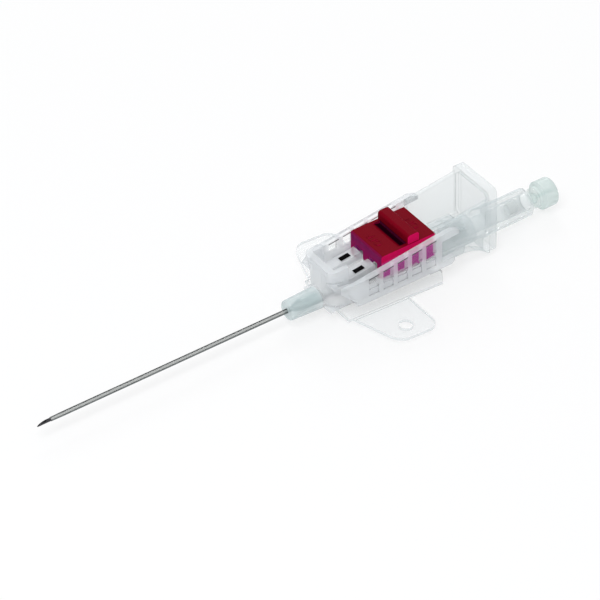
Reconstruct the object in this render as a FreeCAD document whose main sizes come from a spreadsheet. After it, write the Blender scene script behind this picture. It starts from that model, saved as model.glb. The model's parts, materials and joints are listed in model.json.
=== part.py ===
import FreeCAD, Part
import math
import os
import re
import Sketcher
from FreeCAD import Placement, Rotation, Vector

# Arterial cannula with a slide switch, about 102 mm long.
# X runs along the needle towards the vent plug, Z is up, and the origin is on the
# needle's axis where the catheter leaves the nozzle. Millimetres throughout.

NODE_FOLDER = "parts"

doc = FreeCAD.newDocument("arterial_cannula")
sheet = doc.addObject("Spreadsheet::Sheet", "Sizes")

SIZES = [
    # Catheter and the ferrule that wedges it into the nozzle
    ("catheter_length", 45.0, "Catheter that stands out of the nozzle"),
    ("catheter_outer", 0.80, "Catheter outer diameter"),
    ("catheter_bore", 0.66, "Catheter bore diameter"),
    ("catheter_tip_outer", 0.72, "Outer diameter at the tapered tip"),
    ("catheter_taper", 2.2, "Length of the tapered tip"),
    ("flare_start", 1.0, "Where the catheter's end begins to flare"),
    ("flare_length", 1.6, "Length of the flared end"),
    ("flare_spread", 0.60, "How far the flare opens, on the radius"),
    ("ferrule_bore", 0.72, "Bore of the steel ferrule"),
    ("ferrule_neck", 1.20, "Outer diameter of the ferrule's rear neck"),
    ("ferrule_head", 4.2, "Length of the ferrule's head behind the flare"),
    ("ferrule_edge", 0.06, "Thickness of the funnel's front edge"),
    ("ferrule_slant", 0.3, "Length of the taper behind the ferrule's head"),
    ("ferrule_end", 12.2, "Where the ferrule's neck ends, inside the valve tube"),
    ("seat_gap", 0.02, "Gap between pieces that are pushed or bonded together"),
    # Nozzle and front block of the hub
    ("nozzle_length", 6.1, "Nozzle length"),
    ("nozzle_tip", 3.55, "Nozzle diameter at its front"),
    ("nozzle_root", 4.0, "Nozzle diameter at the block"),
    ("nozzle_round", 0.35, "Rounding of the nozzle's front edge"),
    ("block_length", 3.6, "Front block length"),
    ("block_width", 7.8, "Front block width"),
    ("block_bottom", -1.05, "Underside of the front block"),
    ("block_lip", 5.9, "Underside of the block's overhanging lip"),
    ("block_top", 6.95, "Top of the front block"),
    ("block_corner", 2.9, "Corner radius of the block below its lip"),
    ("lip_corner", 1.2, "Corner radius of the lip"),
    ("foot_height", 0.6, "Height of the block's square foot"),
    ("face_thick", 1.3, "Thickness of the block's front face, before the open room"),
    ("shoulder_floor", 3.4, "Floor of the recess between each cheek and its side wall"),
    ("shoulder_front", 0.5, "Width of that recess at its front end"),
    # Side walls with their windows
    ("track_slope", 0.13, "Rise of the deck and the wall tops for each unit of length"),
    ("wall_front", 6.35, "Where the side walls start"),
    ("wall_rear", 26.8, "Rear edge of the side walls"),
    ("wall_bottom", 0.1, "Underside of the side walls"),
    ("wall_width", 12.4, "Width over the side walls"),
    ("wall_thick", 1.0, "Side wall thickness"),
    ("wall_front_width", 9.2, "Width over the walls where they start"),
    ("wall_flare_end", 12.0, "Where the walls reach their full width"),
    ("wall_nose", 9.95, "Where the walls' sloping front edge reaches the bottom bar"),
    ("wall_nose_edge", 0.25, "Height of the walls' blunt front edge"),
    ("wall_rise", 2.9, "Height of the wall tops over the deck"),
    ("channel_floor", 0.9, "Top of the floor between deck and walls"),
    ("prong_top_length", 3.4, "Length of the upper prongs behind the walls"),
    ("prong_top_depth", 1.3, "Height of the upper prongs"),
    ("prong_slant", 1.6, "Length of the slanting end of the upper prongs"),
    ("prong_tip", 0.6, "Drop of the upper prongs' tips below their top"),
    ("prong_low_length", 2.6, "Length of the lower prongs behind the walls"),
    ("prong_low_top", 1.45, "Top of the lower prongs"),
    ("prong_low_chamfer", 0.55, "Chamfer under the tips of the lower prongs"),
    ("flare_curve", 9.5, "Radius of the walls' curve towards their front"),
    ("window_count", 5, "Windows in each side wall"),
    ("window_first", 12.15, "Front edge of the first window"),
    ("window_pitch", 2.87, "Distance from window to window"),
    ("window_length", 1.95, "Window length"),
    ("window_sill", 3.65, "Lower edge of the windows"),
    ("window_bar", 0.55, "Height of the bar over the windows"),
    ("pane_thick", 0.3, "Thickness of the panes at the back of the windows"),
    ("panel_sill", 1.25, "Lower edge of the recessed panels under the windows"),
    ("panel_depth", 0.35, "Depth of the recessed panels"),
    ("ledge_top", 2.35, "Top of the ledge across the panels"),
    ("ledge_depth", 0.18, "How far the ledge stands back from the posts"),
    # Deck that carries the switch, and the valve chamber under it
    ("switch_front", 15.9, "Front face of the switch in its rear position"),
    ("deck_height", 2.6, "Deck height under the front face of the switch"),
    ("deck_width", 6.0, "Deck width"),
    ("deck_rear", 27.0, "Rear end of the deck"),
    ("keel_front", 7.0, "Front end of the keel under the block"),
    ("keel_lap", 0.5, "How far the keel, nozzle and rails run into the block"),
    ("chamber_front", 9.5, "Front end of the valve chamber"),
    ("chamber_rear", 23.0, "Rear end of the valve chamber"),
    ("chamber_bore", 2.6, "Diameter of the valve chamber"),
    ("slot_width", 2.8, "Width of the slot for the pinch bar"),
    ("slot_margin", 0.3, "Room in the slot before and behind the pinch bar"),
    ("groove_depth", 0.4, "Depth of the guide grooves in the deck's sides"),
    ("groove_drop", 0.6, "Top edge of the guide grooves below the deck"),
    ("groove_height", 0.6, "Height of the guide grooves"),
    ("groove_front", 13.0, "Front end of the guide grooves"),
    ("mark_rail_rise", 1.6, "Height of the two rails in front of the switch, over the deck"),
    ("mark_rail_width", 2.0, "Width of those rails"),
    ("mark_rail_rear", 15.55, "Rear end of those rails"),
    ("mark_length", 1.95, "Length of the black index marks"),
    ("mark_width", 1.0, "Width of the black index marks"),
    ("mark_depth", 0.3, "Depth of the index marks' pockets"),
    ("mark_front", 12.0, "Front edge of the index marks"),
    ("mark_spread", 4.0, "Distance between the middles of the rails and marks"),
    # Valve tube
    ("tube_outer", 2.4, "Valve tube outer diameter"),
    ("tube_bore", 0.70, "Valve tube bore"),
    ("tube_front", 10.0, "Front end of the valve tube"),
    ("tube_overlap", 2.2, "How far the valve tube is pushed over a neck"),
    # Luer socket
    ("socket_seat", 4.0, "Diameter of the socket's plug in the hub"),
    ("socket_collar", 5.6, "Diameter of the socket's collar"),
    ("socket_collar_length", 1.0, "Length of the socket's collar"),
    ("socket_outer", 5.0, "Socket barrel diameter"),
    ("socket_mouth", 36.6, "Where the socket's mouth lies"),
    ("luer_mouth", 4.3, "Bore diameter at the socket's mouth"),
    ("luer_taper", 0.06, "Luer taper, on the diameter for each unit of length"),
    ("luer_depth", 8.4, "Depth of the tapered bore"),
    ("socket_rib_front", 29.6, "Front end of the socket's ribs"),
    ("socket_rib_length", 5.2, "Length of the socket's ribs"),
    ("socket_rib_reach", 3.4, "How far the ribs reach from the axis"),
    ("socket_rib_thick", 0.5, "Rib thickness"),
    ("socket_rib_angle", 37.0, "Angle of the ribs from upright"),
    ("socket_rib_slant", 0.6, "Length of the ribs' slanting rear end"),
    ("socket_rib_end", 0.15, "Height of the ribs over the barrel at that end"),
    # Slide switch
    ("switch_length", 10.8, "Switch length"),
    ("switch_width", 8.7, "Switch width"),
    ("switch_top", 6.4, "Top of the switch"),
    ("switch_chamfer", 0.3, "Chamfer along the top front edge"),
    ("switch_clear", 0.1, "Running gap between the switch and the hub"),
    ("switch_travel", 4.5, "Slide travel from open to closed, along the deck"),
    ("skirt_bottom", 1.6, "Lower edge of the switch's skirts"),
    ("fin_front", 21.3, "Front face of the thumb fin"),
    ("fin_length", 2.3, "Thickness of the thumb fin"),
    ("fin_rise", 1.7, "Height of the thumb fin"),
    ("fin_root", 0.5, "How deep the fin is rooted in the switch's top"),
    ("fin_inset", 0.15, "Distance of the fin's ends from the switch's sides"),
    ("fin_round", 0.55, "Rounding along the fin's top"),
    ("scoop_length", 1.6, "Length of the hollow before the fin"),
    ("scoop_heel", 0.5, "Length of the hollow's level floor at the fin's foot"),
    ("scoop_depth", 0.4, "Depth of the hollow before the fin"),
    ("scoop_margin", 0.7, "Distance of the hollow's ends from the switch's sides"),
    ("pinch_front", 21.0, "Front face of the pinch bar"),
    ("pinch_length", 1.2, "Thickness of the pinch bar"),
    ("pinch_gap", 0.07, "Gap between the pinch bar and the valve tube when open"),
    ("rail_front", 18.0, "Front end of the switch's guide rails"),
    ("rail_length", 8.3, "Length of the guide rails"),
    # Wing plate
    ("plate_slope", 0.055, "Fall of the wing plate for each unit of length"),
    ("plate_level", -1.62, "Top of the wing plate at its front edge"),
    ("plate_front", 8.0, "Front edge of the plate's middle strip"),
    ("plate_rear", 26.9, "Rear corner of the middle strip"),
    ("plate_tail", 28.6, "Rear edge of the strip's tail"),
    ("plate_tail_width", 7.6, "Width of the tail"),
    ("plate_strip", 12.6, "Width of the middle strip, from fold to fold"),
    ("plate_thick", 0.5, "Plate thickness"),
    ("plate_notch", 6.2, "Width of the notch for the socket's collar"),
    ("plate_notch_room", 0.3, "How far that notch reaches under the deck"),
    ("wing_root_front", 8.8, "Front end of a wing at its fold"),
    ("wing_root_rear", 19.75, "Rear end of a wing at its fold"),
    ("wing_span", 30.7, "Width over both wings"),
    ("wing_tip_front", 13.4, "Front end of the wing tip"),
    ("wing_tip_rear", 17.5, "Rear end of the wing tip"),
    ("wing_lead_out", 13.1, "Distance of the leading edge's outer end from the axis"),
    ("wing_lead_back", 11.1, "Where the leading edge's outer end lies"),
    ("wing_lead_round", 3.4, "Corner radius at the leading edge"),
    ("wing_rear_round", 2.1, "Corner radius at the rear of the tip"),
    ("eyelet_bore", 2.4, "Diameter of the suture holes"),
    ("eyelet_place", 15.1, "Where the suture holes lie along the plate"),
    ("eyelet_out", 12.2, "Distance of the suture holes from the axis"),
    ("fold_width", 0.5, "Width of the thinned fold"),
    ("fold_depth", 0.15, "Depth of the thinned fold"),
    # Needle and its grip
    ("needle_outer", 0.58, "Needle outer diameter"),
    ("needle_bore", 0.38, "Needle bore"),
    ("needle_reach", 2.5, "Needle that stands out of the catheter"),
    ("bevel_length", 2.1, "Length of the needle's bevel"),
    ("needle_end", 33.5, "Where the needle ends, inside the flash chamber"),
    ("grip_front", 27.25, "Front edge of the grip's walls"),
    ("grip_width", 10.0, "Width over the grip's walls"),
    ("grip_wall", 0.8, "Grip wall thickness"),
    ("grip_lap", 0.3, "How far the grip's walls run into the flange"),
    ("grip_top_step", 0.3, "Grip wall tops over the line of the hub's wall tops"),
    ("grip_floor", 0.8, "Thickness of the grip's floor ledges"),
    ("grip_slot", 7.2, "Width between the floor ledges"),
    ("flange_front", 37.2, "Front face of the flange"),
    ("flange_thick", 1.7, "Flange thickness"),
    ("flange_width", 9.9, "Flange width"),
    ("flange_top", 10.15, "Top of the flange"),
    ("flange_bottom", -2.6, "Underside of the flange"),
    ("flange_corner", 0.9, "Corner radius of the flange"),
    ("dish_margin", 0.85, "Rim left round the flange's hollow"),
    ("dish_depth", 0.5, "Depth of the hollow in the flange"),
    ("flare_reach", 5.6, "Length of the flare under the grip's walls"),
    ("flare_radius", 8.0, "Radius of the flare's edge"),
    ("flare_lift", 0.2, "Height of the flare's end over the flange's underside"),
    ("male_clear", 0.05, "Gap round the male luer in the socket"),
    ("male_room", 0.3, "Room between the needle's adhesive and the socket's inner end"),
    ("male_bond_bore", 0.62, "Bore that the needle is bonded in"),
    ("male_bond_length", 3.2, "Length of that bore"),
    ("flash_outer", 5.04, "Flash chamber outer diameter"),
    ("flash_bore", 3.0, "Flash chamber bore"),
    ("flash_rear", 48.7, "Rear end of the flash chamber"),
    ("flash_chamfer", 0.2, "Chamfer round the chamber's rear end"),
    ("flash_cone", 0.8, "Length of the cone at the front of the chamber's bore"),
    ("flash_draft", 0.3, "How much narrower the bore is at that cone, on the radius"),
    ("boss_outer", 5.2, "Diameter of the ring where the chamber meets the flange"),
    ("boss_length", 0.8, "Length of that ring"),
    ("boss_slant", 0.3, "Length of the slanting face behind that ring"),
    ("flash_rib_width", 0.7, "Width of the rib along the flash chamber"),
    ("flash_rib_rise", 0.35, "Height of the rib along the flash chamber"),
    ("flash_rib_root", 0.7, "How deep the rib is rooted in the chamber's wall"),
    ("flash_rib_short", 0.4, "Distance of the rib's rear end from the chamber's"),
    ("bond_outer", 1.5, "Diameter of the adhesive cone round the needle"),
    ("bond_length", 0.9, "Length of the adhesive cone"),
    ("bond_edge", 0.06, "Thickness of the adhesive cone's front edge"),
    # Vent plug
    ("plug_neck", 3.6, "Neck diameter of the vent plug"),
    ("plug_neck_flare", 0.3, "Length of the neck's flare before the cap"),
    ("plug_cap", 5.06, "Cap diameter of the vent plug"),
    ("plug_cap_front", 51.4, "Front face of the cap"),
    ("plug_end", 54.1, "Rear end of the cap, before its dome"),
    ("plug_dome", 0.5, "Height of the cap's pointed rear face"),
    ("vent_hole", 0.6, "Diameter of the vent hole in the cap"),
    ("plug_round", 0.5, "Rounding round the cap's rear edge"),
    ("plug_insert", 4.2, "How far the plug reaches into the chamber"),
    ("plug_seat_room", 0.4, "Length of straight bore in front of the plug"),
    ("plug_clear", 0.03, "Gap round the plug's insert"),
    ("plug_bore", 2.0, "Bore of the plug's insert"),
    ("filter_length", 1.6, "Length of the porous filter"),
    ("filter_inset", 0.3, "How deep the filter sits in the plug"),
]

ALIASES = {alias for alias, size, note in SIZES}

MALE_FRONT = "(socket_mouth - luer_depth + bond_length + male_room)"
PRONG_TOP_END = "(wall_rear + prong_top_length)"
PRONG_LOW_END = "(wall_rear + prong_low_length)"


def fill_sheet():
    """Write every driving size with its note, and name its cell."""
    for row, (alias, size, note) in enumerate(SIZES, start=1):
        sheet.set(f"A{row}", note)
        sheet.set(f"B{row}", str(size))
        sheet.setAlias(f"B{row}", alias)
    doc.recompute()


def cells(formula):
    """Put the sheet's name before each size that a formula names."""
    def qualify(word):
        return f"Sizes.{word[0]}" if word[0] in ALIASES else word[0]
    return re.sub(r"[a-z_]+", qualify, formula)


def value(formula):
    """Work a formula out from the sheet as it stands."""
    return float(sheet.evalExpression(cells(formula)))


def deck_at(along):
    """Formula for the deck's height at a place along the cannula."""
    return f"(deck_height + ({along} - switch_front) * track_slope)"


def wall_top_at(along):
    """Formula for the side walls' top at a place along the cannula."""
    return f"({deck_at(along)} + wall_rise)"


def rail_top_at(along):
    """Formula for the top of the two rails in front of the switch."""
    return f"({deck_at(along)} + mark_rail_rise)"


def plate_at(along):
    """Formula for the wing plate's top at a place along the cannula."""
    return f"(plate_level - ({along} - plate_front) * plate_slope)"


def new_body(name):
    body = doc.addObject("PartDesign::Body", name)
    body.Label = name
    return body


def origin_feature(body, role):
    return next(item for item in body.Origin.OriginFeatures if item.Role == role)


def new_sketch(body, name, plane, offset="0"):
    """Start a sketch on one of the body's own origin planes, moved along its normal."""
    sketch = body.newObject("Sketcher::SketchObject", name)
    sketch.AttachmentSupport = [(origin_feature(body, plane), "")]
    sketch.MapMode = "FlatFace"
    sketch.setExpression("AttachmentOffset.Base.z", cells(offset))
    return sketch


def arc_through(start, end, radius, turn):
    """Arc from start to end. A turn of 1 bends it to the left, and -1 to the right."""
    chord = end - start
    middle = (start + end) * 0.5
    height = math.sqrt(max(radius ** 2 - (chord.Length / 2) ** 2, 0.0))
    side = Vector(-chord.y, chord.x, 0).normalize()
    centre = middle + side * (turn * height)
    first, last = (start, end) if turn > 0 else (end, start)
    angles = [math.atan2(point.y - centre.y, point.x - centre.x) for point in (first, last)]
    circle = Part.Circle(centre, Vector(0, 0, 1), radius)
    return Part.ArcOfCircle(circle, angles[0], angles[1])


def bind(sketch, kind, items, formula):
    """Add a constraint whose size comes from the sheet."""
    index = sketch.addConstraint(Sketcher.Constraint(kind, *items, value(formula)))
    sketch.setExpression(f"Constraints[{index}]", cells(formula))


def add_outline(sketch, corners):
    """Draw a closed outline. A corner is (x, y), or (x, y, radius, turn) where an arc leaves it."""
    first = sketch.GeometryCount
    places = [Vector(value(corner[0]), value(corner[1]), 0) for corner in corners]
    ends = []
    for index, corner in enumerate(corners):
        start, end = places[index], places[(index + 1) % len(corners)]
        if len(corner) == 2:
            sketch.addGeometry(Part.LineSegment(start, end))
            ends.append((1, 2))
        else:
            sketch.addGeometry(arc_through(start, end, value(corner[2]), corner[3]))
            ends.append((1, 2) if corner[3] > 0 else (2, 1))
    for index, corner in enumerate(corners):
        line, following = first + index, first + (index + 1) % len(corners)
        joint = (line, ends[index][1], following, ends[(index + 1) % len(corners)][0])
        sketch.addConstraint(Sketcher.Constraint("Coincident", *joint))
        bind(sketch, "DistanceX", (-1, 1, line, ends[index][0]), corner[0])
        bind(sketch, "DistanceY", (-1, 1, line, ends[index][0]), corner[1])
        if len(corner) == 4:
            bind(sketch, "Radius", (line,), corner[2])


def add_circle(sketch, across, up, diameter):
    centre = Vector(value(across), value(up), 0)
    line = sketch.addGeometry(Part.Circle(centre, Vector(0, 0, 1), value(diameter) / 2))
    bind(sketch, "DistanceX", (-1, 1, line, 3), across)
    bind(sketch, "DistanceY", (-1, 1, line, 3), up)
    bind(sketch, "Diameter", (line,), diameter)


def rounded_box(left, right, low, high, radius):
    """Outline of a rectangle with four equal round corners, drawn counter-clockwise."""
    return [
        (f"({left}) + {radius}", low), (f"({right}) - {radius}", low, radius, 1),
        (right, f"({low}) + {radius}"), (right, f"({high}) - {radius}", radius, 1),
        (f"({right}) - {radius}", high), (f"({left}) + {radius}", high, radius, 1),
        (left, f"({high}) - {radius}"), (left, f"({low}) + {radius}", radius, 1),
    ]


def feature(body, kind, sketch, name):
    item = body.newObject(f"PartDesign::{kind}", name)
    item.Profile = sketch
    return item


def extrude(body, kind, name, plane, outlines, length, both_ways=True, offset="0", backwards=False):
    """Pad or pocket a set of outlines by a length, to both sides of the plane or to one."""
    sketch = new_sketch(body, f"{name}_outline", plane, offset)
    for outline in outlines:
        add_outline(sketch, outline)
    item = feature(body, kind, sketch, name)
    item.setExpression("Length", cells(length))
    item.Midplane = both_ways
    item.Reversed = backwards
    doc.recompute()
    return item


def across(body, kind, name, outlines, width):
    """Pad or pocket side-view outlines by a width that is centred on the cannula."""
    return extrude(body, kind, name, "XZ_Plane", outlines, width)


def turned(body, kind, name, corners):
    """Revolve a half section, drawn as (x, radius), round the needle's axis."""
    sketch = new_sketch(body, f"{name}_section", "XZ_Plane")
    add_outline(sketch, corners)
    item = feature(body, kind, sketch, name)
    item.ReferenceAxis = (origin_feature(body, "X_Axis"), [""])
    item.Angle = 360
    doc.recompute()
    return item


# Catheter

def make_catheter_tube():
    body = new_body("catheter_tube")
    flare_end = "flare_start + flare_length"
    turned(body, "Revolution", "tube_wall", [
        ("-catheter_length", "catheter_bore / 2"),
        ("-catheter_length", "catheter_tip_outer / 2"),
        ("catheter_taper - catheter_length", "catheter_outer / 2"),
        ("flare_start", "catheter_outer / 2"),
        (flare_end, "catheter_outer / 2 + flare_spread"),
        (flare_end, "catheter_bore / 2 + flare_spread"),
        ("flare_start", "catheter_bore / 2"),
    ])


def make_catheter_ferrule():
    body = new_body("catheter_ferrule")
    gap = "(ferrule_bore / 2 + ferrule_edge + seat_gap - catheter_bore / 2)"
    cone_start = f"flare_start + {gap} * flare_length / flare_spread"
    cone_end = "flare_start + flare_length"
    cone_radius = "catheter_bore / 2 + flare_spread - seat_gap"
    head_start = f"{cone_end} + 2 * seat_gap"
    head_end = f"{head_start} + ferrule_head"
    head_radius = "catheter_outer / 2 + flare_spread"
    turned(body, "Revolution", "funnel", [
        (cone_start, "ferrule_bore / 2"),
        (cone_start, "ferrule_bore / 2 + ferrule_edge"),
        (cone_end, cone_radius),
        (head_start, cone_radius),
        (head_start, head_radius),
        (head_end, head_radius),
        (f"{head_end} + ferrule_slant", "ferrule_neck / 2"),
        ("ferrule_end", "ferrule_neck / 2"),
        ("ferrule_end", "ferrule_bore / 2"),
    ])


# Hub

def window_outline(index, low, high_drop):
    """Four corners of a window or panel: level at the foot, and following the wall's top above."""
    front = f"window_first + {index} * window_pitch"
    rear = f"window_first + {index} * window_pitch + window_length"
    return [
        (front, low), (rear, low),
        (rear, f"{wall_top_at(rear)} - {high_drop}"), (front, f"{wall_top_at(front)} - {high_drop}"),
    ]


def wall_side_view():
    """Side view of the walls: sloping nose, rising top, and two prongs behind."""
    prong_start = f"{PRONG_TOP_END} - prong_slant"
    return [
        ("wall_front", wall_top_at("wall_front")),
        ("wall_front", f"{wall_top_at('wall_front')} - wall_nose_edge"),
        ("wall_nose", "channel_floor"),
        ("wall_nose", "wall_bottom"),
        (f"{PRONG_LOW_END} - prong_low_chamfer", "wall_bottom"),
        (PRONG_LOW_END, "wall_bottom + prong_low_chamfer"),
        (PRONG_LOW_END, "prong_low_top"),
        ("wall_rear", "prong_low_top"),
        ("wall_rear", f"{wall_top_at('wall_rear')} - prong_top_depth"),
        (PRONG_TOP_END, f"{wall_top_at(prong_start)} - prong_top_depth"),
        (PRONG_TOP_END, f"{wall_top_at(prong_start)} - prong_tip"),
        (prong_start, wall_top_at(prong_start)),
    ]


def make_hub_walls(body):
    windows = range(int(value("window_count")))
    across(body, "Pad", "wall_core", [wall_side_view()], "wall_width - 2 * panel_depth")
    panels = [window_outline(index, "panel_sill", "window_bar") for index in windows]
    across(body, "Pad", "wall_frame", [wall_side_view()] + panels, "wall_width")
    ledge = [("window_first", "panel_sill"), ("wall_rear", "panel_sill"),
             ("wall_rear", "ledge_top"), ("window_first", "ledge_top")]
    across(body, "Pad", "panel_ledge", [ledge], "wall_width - 2 * ledge_depth")
    openings = [window_outline(index, "window_sill", "window_bar") for index in windows]
    across(body, "Pocket", "windows", openings, "2 * wall_width")
    across(body, "Pad", "panes", openings, "wall_width - 2 * wall_thick + 2 * pane_thick")
    flank = []
    for side, turn in (("", -1), ("-", 1)):
        flank.append([
            ("wall_front - 1", f"{side}(wall_front_width / 2)"),
            ("wall_front", f"{side}(wall_front_width / 2)", "flare_curve", turn),
            ("wall_flare_end", f"{side}(wall_width / 2)"),
            ("wall_flare_end", f"{side}wall_width"),
            ("wall_front - 1", f"{side}wall_width"),
        ])
    extrude(body, "Pocket", "wall_flare", "XY_Plane", flank, "4 * wall_width")
    inside = "(wall_width / 2 - wall_thick)"
    block_rear = "nozzle_length + block_length"
    trough = [(block_rear, "channel_floor"), (f"{PRONG_TOP_END} + 1", "channel_floor"),
              (f"{PRONG_TOP_END} + 1", "2 * block_top"), (block_rear, "2 * block_top")]
    across(body, "Pocket", "trough", [trough], f"2 * {inside}")
    behind = [("deck_rear", "wall_bottom - 1"), (f"{PRONG_TOP_END} + 1", "wall_bottom - 1"),
              (f"{PRONG_TOP_END} + 1", "2 * block_top"), ("deck_rear", "2 * block_top")]
    across(body, "Pocket", "grip_room", [behind], f"2 * {inside}")


def block_plan(corner):
    """Plan of the front block: round at the two front corners."""
    front, rear = "nozzle_length", "nozzle_length + block_length"
    side = "block_width / 2"
    return [
        (f"{front} + {corner}", f"-{side}"), (rear, f"-{side}"), (rear, side),
        (f"{front} + {corner}", side, corner, 1), (front, f"{side} - {corner}"),
        (front, f"-{side} + {corner}", corner, 1),
    ]


def make_hub_front(body):
    """Nozzle and front block: a face with a lip, and an open room between two cheeks behind it."""
    rear = "(nozzle_length + block_length)"
    side = "(block_width / 2)"
    extrude(body, "Pad", "block", "XY_Plane", [block_plan("block_corner")],
            "block_top - block_bottom", both_ways=False, offset="block_bottom")
    extrude(body, "Pad", "block_lip", "XY_Plane", [block_plan("lip_corner")],
            "block_top - block_lip", both_ways=False, offset="block_lip")
    foot = [("nozzle_length", f"-{side}"), (rear, f"-{side}"), (rear, side), ("nozzle_length", side)]
    extrude(body, "Pad", "block_foot", "XY_Plane", [foot],
            "foot_height", both_ways=False, offset="block_bottom")
    across(body, "Pocket", "sloping_underside", [[
        ("nozzle_length", "block_bottom"), ("nozzle_length", "block_bottom - 1"), (rear, "block_bottom - 1"),
        (rear, "block_bottom + block_length * track_slope"),
    ]], "2 * block_width")
    turned(body, "Revolution", "nozzle", [
        ("0", "0"), ("0", "nozzle_tip / 2 - nozzle_round", "nozzle_round", -1),
        ("nozzle_round", "nozzle_tip / 2"), ("nozzle_length", "nozzle_root / 2"),
        ("keel_front + keel_lap", "nozzle_root / 2"), ("keel_front + keel_lap", "0"),
    ])
    room_front = "nozzle_length + face_thick"
    inside = "(wall_width / 2 - wall_thick)"
    for name, sign in (("left", ""), ("right", "-")):
        extrude(body, "Pocket", f"shoulder_{name}", "XY_Plane", [[
            (room_front, f"{sign}{side}"), (rear, f"{sign}{side}"), (rear, f"{sign}{inside}"),
            (room_front, f"{sign}({side} + shoulder_front)"),
        ]], "block_top", both_ways=False, offset="shoulder_floor", backwards=True)
    across(body, "Pocket", "block_room", [[
        (room_front, deck_at(room_front)), (rear, deck_at(rear)),
        (rear, "block_top + 1"), (room_front, "block_top + 1"),
    ]], "deck_width")


def make_hub_deck(body):
    """Deck with its two mark rails, keel, valve chamber, pinch slot and guide grooves."""
    deck_front = "nozzle_length + block_length - keel_lap"
    across(body, "Pad", "deck", [[
        ("keel_front", "block_bottom + keel_lap"), ("keel_front", plate_at("keel_front")),
        ("deck_rear", plate_at("deck_rear")), ("deck_rear", deck_at("deck_rear")),
        (deck_front, deck_at(deck_front)), (deck_front, "block_bottom + keel_lap"),
    ]], "deck_width")
    rail_start = "nozzle_length + face_thick - keel_lap"
    for side, sign in (("left", ""), ("right", "-")):
        extrude(body, "Pad", f"mark_rail_{side}", "XZ_Plane", [[
            (rail_start, f"{deck_at(rail_start)} - keel_lap"),
            ("mark_rail_rear", f"{deck_at('mark_rail_rear')} - keel_lap"),
            ("mark_rail_rear", rail_top_at("mark_rail_rear")), (rail_start, rail_top_at(rail_start)),
        ]], "mark_rail_width", offset=f"{sign}(mark_spread / 2)")
    flare_end = "flare_start + flare_length"
    seat = "catheter_outer / 2 + seat_gap"
    turned(body, "Groove", "flow_path", [
        ("-1", "0"), ("-1", seat), ("flare_start", seat),
        (flare_end, f"{seat} + flare_spread"), ("chamber_front", f"{seat} + flare_spread"),
        ("chamber_front", "chamber_bore / 2"), ("chamber_rear", "chamber_bore / 2"),
        ("chamber_rear", "socket_seat / 2"), ("deck_rear + 1", "socket_seat / 2"), ("deck_rear + 1", "0"),
    ])
    slot_front = "pinch_front - switch_travel - slot_margin"
    slot_rear = "pinch_front + pinch_length + slot_margin"
    across(body, "Pocket", "pinch_slot", [[
        (slot_front, "0"), (slot_rear, "0"), (slot_rear, "switch_top"), (slot_front, "switch_top"),
    ]], "slot_width")
    groove_plan = "deck_width / 2 - groove_depth"
    for side, backwards in (("left", False), ("right", True)):
        extrude(body, "Pocket", f"guide_groove_{side}", "XZ_Plane", [[
            ("groove_front", f"{deck_at('groove_front')} - groove_drop - groove_height"),
            ("deck_rear + 1", f"{deck_at('deck_rear + 1')} - groove_drop - groove_height"),
            ("deck_rear + 1", f"{deck_at('deck_rear + 1')} - groove_drop"),
            ("groove_front", f"{deck_at('groove_front')} - groove_drop"),
        ]], "deck_width / 2", both_ways=False,
            offset=f"{'-' if backwards else ''}({groove_plan})", backwards=not backwards)
    mark_rear = "mark_front + mark_length"
    for side, sign in (("left", ""), ("right", "-")):
        centre = f"{sign}(mark_spread / 2)"
        extrude(body, "Pocket", f"mark_pocket_{side}", "XZ_Plane", [[
            ("mark_front", f"{rail_top_at('mark_front')} - mark_depth"),
            (mark_rear, f"{rail_top_at(mark_rear)} - mark_depth"),
            (mark_rear, "switch_top"), ("mark_front", "switch_top"),
        ]], "mark_width", offset=centre)


def make_cannula_hub():
    body = new_body("cannula_hub")
    make_hub_walls(body)
    make_hub_front(body)
    make_hub_deck(body)


def make_index_mark(name, sign):
    """Black mark let into a rail, with its top level with the rail's."""
    body = new_body(name)
    front, rear = "mark_front + seat_gap", "mark_front + mark_length - seat_gap"
    extrude(body, "Pad", "inlay", "XZ_Plane", [[
        (front, f"{rail_top_at(front)} - mark_depth + seat_gap"),
        (rear, f"{rail_top_at(rear)} - mark_depth + seat_gap"),
        (rear, rail_top_at(rear)), (front, rail_top_at(front)),
    ]], "mark_width - 2 * seat_gap", offset=f"{sign}(mark_spread / 2)")


def make_valve_tube():
    body = new_body("valve_tube")
    neck = "ferrule_neck / 2 + seat_gap"
    front_neck = "tube_front + tube_overlap"
    rear = "chamber_rear - seat_gap"
    rear_neck = f"{rear} - tube_overlap"
    turned(body, "Revolution", "tube_wall", [
        ("tube_front", neck), ("tube_front", "tube_outer / 2"), (rear, "tube_outer / 2"), (rear, neck),
        (rear_neck, neck), (rear_neck, "tube_bore / 2"), (f"{front_neck} + 2 * seat_gap", "tube_bore / 2"),
        (f"{front_neck} + 2 * seat_gap", neck),
    ])


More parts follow.
